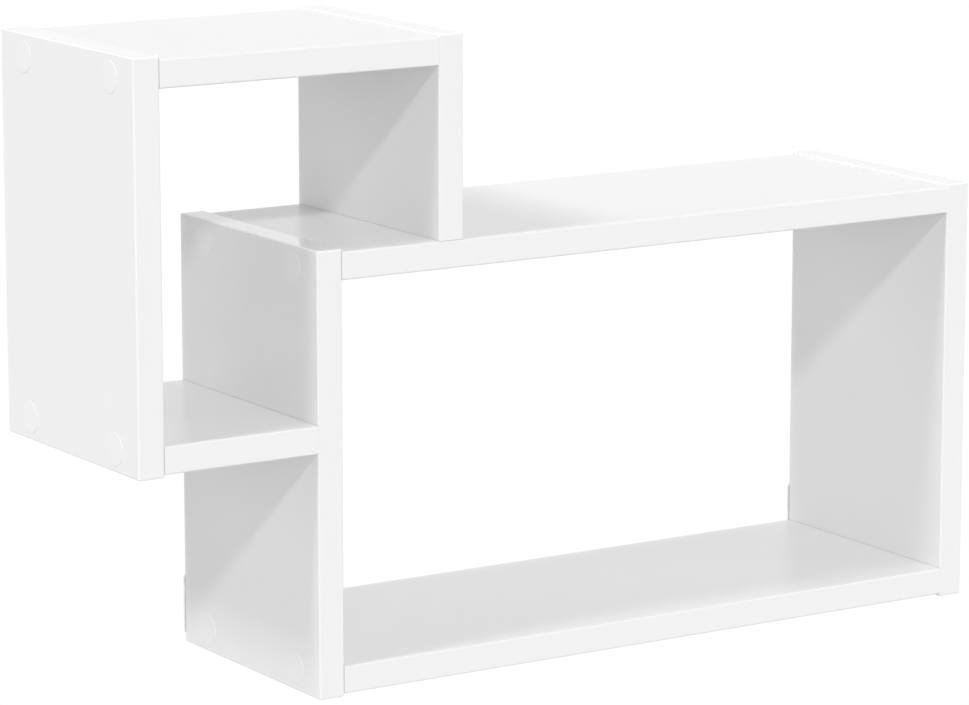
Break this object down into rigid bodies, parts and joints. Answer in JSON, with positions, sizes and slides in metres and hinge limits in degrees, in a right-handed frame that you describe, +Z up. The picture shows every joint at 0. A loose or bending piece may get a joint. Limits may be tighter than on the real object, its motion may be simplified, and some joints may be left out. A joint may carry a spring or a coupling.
{
  "type": "wall shelf",
  "caption": "Open wall shelf of white faced board: a small square frame overlaps the corner of a longer one; hangs on keyhole plates behind the sides.",
  "frame": {"origin": "on the wall plane, which is the rear face of the hanger plates, midway between the two keyholes' round ends and level with them", "axes": "+Z up, +Y towards the wall, +X to the right as seen from the room"},
  "size_m": [0.5304, 0.1465, 0.345],
  "materials": {
    "white_board": "particle board with a satin white melamine facing and edge bands",
    "cover_cap": "thin white self-adhesive foil",
    "zinc_plate": "pressed steel, bright zinc plated",
    "zinc_screw": "steel, bright zinc plated",
    "beech": "plain beech"
  },
  "bodies": {
    "root": {"left_hanger_plate": "zinc_plate", "left_plate_screws": "zinc_screw", "lower_bottom_board": "white_board", "lower_bottom_left_caps": "cover_cap", "lower_bottom_left_dowel": "beech", "lower_bottom_left_screws": "zinc_screw", "lower_bottom_right_caps": "cover_cap", "lower_bottom_right_dowel": "beech", "lower_bottom_right_screws": "zinc_screw", "lower_left_side": "white_board", "lower_right_side": "white_board", "lower_top_board": "white_board", "lower_top_left_caps": "cover_cap", "lower_top_left_dowel": "beech", "lower_top_left_screws": "zinc_screw", "lower_top_right_caps": "cover_cap", "lower_top_right_dowel": "beech", "lower_top_right_screws": "zinc_screw", "right_hanger_plate": "zinc_plate", "right_plate_screws": "zinc_screw", "upper_bottom_board": "white_board", "upper_bottom_left_caps": "cover_cap", "upper_bottom_left_dowel": "beech", "upper_bottom_left_screws": "zinc_screw", "upper_bottom_right_caps": "cover_cap", "upper_bottom_right_dowel": "beech", "upper_bottom_right_screws": "zinc_screw", "upper_left_side": "white_board", "upper_right_side": "white_board", "upper_side_foot_caps": "cover_cap", "upper_side_foot_dowel": "beech", "upper_side_foot_screws": "zinc_screw", "upper_top_board": "white_board", "upper_top_left_caps": "cover_cap", "upper_top_left_dowel": "beech", "upper_top_left_screws": "zinc_screw", "upper_top_right_caps": "cover_cap", "upper_top_right_dowel": "beech", "upper_top_right_screws": "zinc_screw"}
  },
  "joints": []
}
